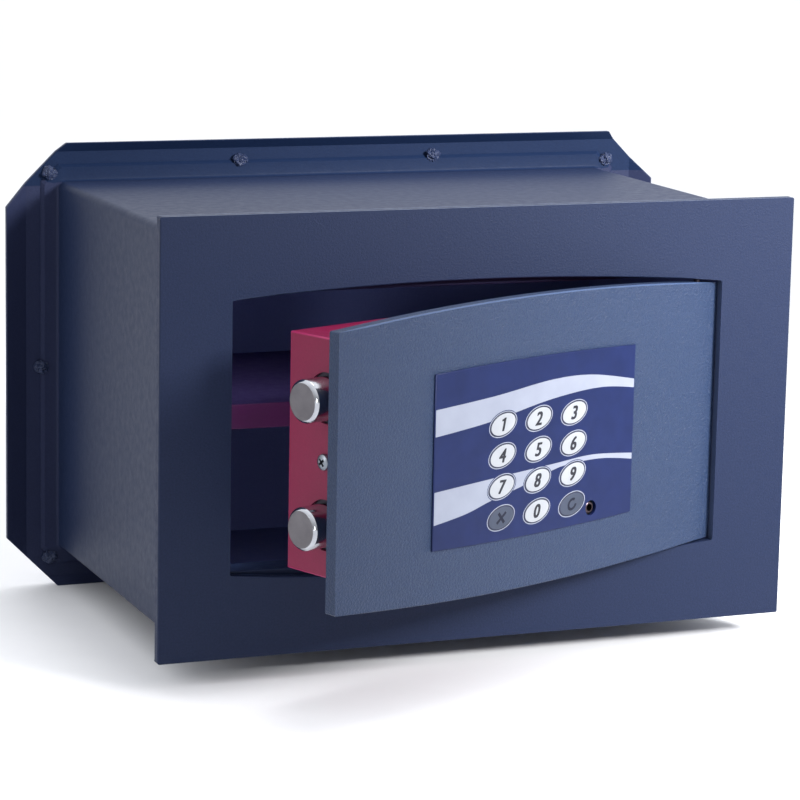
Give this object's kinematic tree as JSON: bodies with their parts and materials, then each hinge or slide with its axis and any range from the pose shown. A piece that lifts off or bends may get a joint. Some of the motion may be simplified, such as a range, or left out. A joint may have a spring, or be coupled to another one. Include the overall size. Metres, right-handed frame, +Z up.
{
  "type": "wall safe",
  "caption": "Wall safe with a folded box, rear anchoring plate, arched hinged door, numeric keypad and round motor-driven bolts.",
  "frame": {"origin": "centre of the rear anchoring plate's back face", "axes": "+Y out of the back, away from the door; +X along the width towards the hinge side; +Z up"},
  "size_m": [0.348, 0.2833, 0.222],
  "materials": {
    "plate_paint": "satin fine-textured dark blue enamel",
    "box_paint": "satin dark blue enamel",
    "door_paint": "hammered blue enamel",
    "red_paint": "satin red enamel",
    "keypad_blue": "satin navy keypad face with pale bands",
    "key_white": "satin white key with dark numeral",
    "key_grey": "satin grey key",
    "bolt_chrome": "bright chrome",
    "zinc_steel": "zinc-plated steel",
    "jack_metal": "nickel plate",
    "motor_steel": "brushed steel can",
    "brass_gear": "machined brass",
    "circuit_board": "green solder mask",
    "black_plastic": "fine-grained black plastic",
    "ribbon_grey": "grey ribbon insulation",
    "cell_wrap": "plain cell wrap"
  },
  "bodies": {
    "safe_body": {"front_plate": "plate_paint", "box_shell": "box_paint", "rear_plate": "box_paint", "weld_spots": "box_paint", "door_stops": "box_paint", "bolt_keeper": "box_paint", "hinge_blocks": "box_paint", "shelf": "red_paint", "shelf_supports": "red_paint"},
    "door": {"door_plate": "door_paint", "hinge_pins": "zinc_steel", "keypad_frame": "keypad_blue", "keypad_board": "circuit_board", "jack_socket": "jack_metal", "lock_case": "red_paint", "case_pillars": "zinc_steel", "case_screws": "zinc_steel", "side_screw": "zinc_steel", "bolt_guide": "zinc_steel", "motor_bracket": "zinc_steel", "gear_motor": "motor_steel", "control_board": "circuit_board", "board_standoffs": "black_plastic", "ribbon_cable": "ribbon_grey", "battery_holder": "black_plastic", "batteries": "cell_wrap"},
    "bolt_carriage": {"bolt_upper": "bolt_chrome", "bolt_lower": "bolt_chrome", "bolt_bar": "zinc_steel", "bolt_screws": "zinc_steel", "bolt_rack": "zinc_steel"},
    "pinion": {"pinion": "brass_gear"},
    "battery_lid": {"battery_lid": "black_plastic"},
    "key_1": {"key_1": "key_white"},
    "key_2": {"key_2": "key_white"},
    "key_3": {"key_3": "key_white"},
    "key_4": {"key_4": "key_white"},
    "key_5": {"key_5": "key_white"},
    "key_6": {"key_6": "key_white"},
    "key_7": {"key_7": "key_white"},
    "key_8": {"key_8": "key_white"},
    "key_9": {"key_9": "key_white"},
    "key_clear": {"key_clear": "key_grey"},
    "key_0": {"key_0": "key_white"},
    "key_reset": {"key_reset": "key_grey"}
  },
  "joints": [
    {"name": "door_hinge", "type": "hinge", "parent": "safe_body", "child": "door", "pos_m": [0.107, -0.197, 0], "axis": [0, 0, 1], "range_deg": [-21.58, 78.42]},
    {"name": "bolt_slide", "type": "slide", "parent": "door", "child": "bolt_carriage", "axis": [-0.9299, -0.3678, 0], "range_m": [0, 0.014]},
    {"name": "pinion_spin", "type": "hinge", "parent": "door", "child": "pinion", "pos_m": [-0.04064, -0.22421, 0], "axis": [0, 0, 1], "range_deg": [-136, 0]},
    {"name": "lid_slide", "type": "slide", "parent": "door", "child": "battery_lid", "axis": [0.9299, 0.3678, 0], "range_m": [0, 0.03]},
    {"name": "key_1_press", "type": "slide", "parent": "door", "child": "key_1", "axis": [-0.3678, 0.9299, 0], "range_m": [0, 0.0006], "stiffness_N_per_m": 800, "springref_m": -0.001},
    {"name": "key_2_press", "type": "slide", "parent": "door", "child": "key_2", "axis": [-0.3678, 0.9299, 0], "range_m": [0, 0.0006], "stiffness_N_per_m": 800, "springref_m": -0.001},
    {"name": "key_3_press", "type": "slide", "parent": "door", "child": "key_3", "axis": [-0.3678, 0.9299, 0], "range_m": [0, 0.0006], "stiffness_N_per_m": 800, "springref_m": -0.001},
    {"name": "key_4_press", "type": "slide", "parent": "door", "child": "key_4", "axis": [-0.3678, 0.9299, 0], "range_m": [0, 0.0006], "stiffness_N_per_m": 800, "springref_m": -0.001},
    {"name": "key_5_press", "type": "slide", "parent": "door", "child": "key_5", "axis": [-0.3678, 0.9299, 0], "range_m": [0, 0.0006], "stiffness_N_per_m": 800, "springref_m": -0.001},
    {"name": "key_6_press", "type": "slide", "parent": "door", "child": "key_6", "axis": [-0.3678, 0.9299, 0], "range_m": [0, 0.0006], "stiffness_N_per_m": 800, "springref_m": -0.001},
    {"name": "key_7_press", "type": "slide", "parent": "door", "child": "key_7", "axis": [-0.3678, 0.9299, 0], "range_m": [0, 0.0006], "stiffness_N_per_m": 800, "springref_m": -0.001},
    {"name": "key_8_press", "type": "slide", "parent": "door", "child": "key_8", "axis": [-0.3678, 0.9299, 0], "range_m": [0, 0.0006], "stiffness_N_per_m": 800, "springref_m": -0.001},
    {"name": "key_9_press", "type": "slide", "parent": "door", "child": "key_9", "axis": [-0.3678, 0.9299, 0], "range_m": [0, 0.0006], "stiffness_N_per_m": 800, "springref_m": -0.001},
    {"name": "key_clear_press", "type": "slide", "parent": "door", "child": "key_clear", "axis": [-0.3678, 0.9299, 0], "range_m": [0, 0.0006], "stiffness_N_per_m": 800, "springref_m": -0.001},
    {"name": "key_0_press", "type": "slide", "parent": "door", "child": "key_0", "axis": [-0.3678, 0.9299, 0], "range_m": [0, 0.0006], "stiffness_N_per_m": 800, "springref_m": -0.001},
    {"name": "key_reset_press", "type": "slide", "parent": "door", "child": "key_reset", "axis": [-0.3678, 0.9299, 0], "range_m": [0, 0.0006], "stiffness_N_per_m": 800, "springref_m": -0.001}
  ],
  "couplings": [
    {"joint": "pinion_spin", "follows": "bolt_slide", "rad_per_m": -166.67}
  ]
}
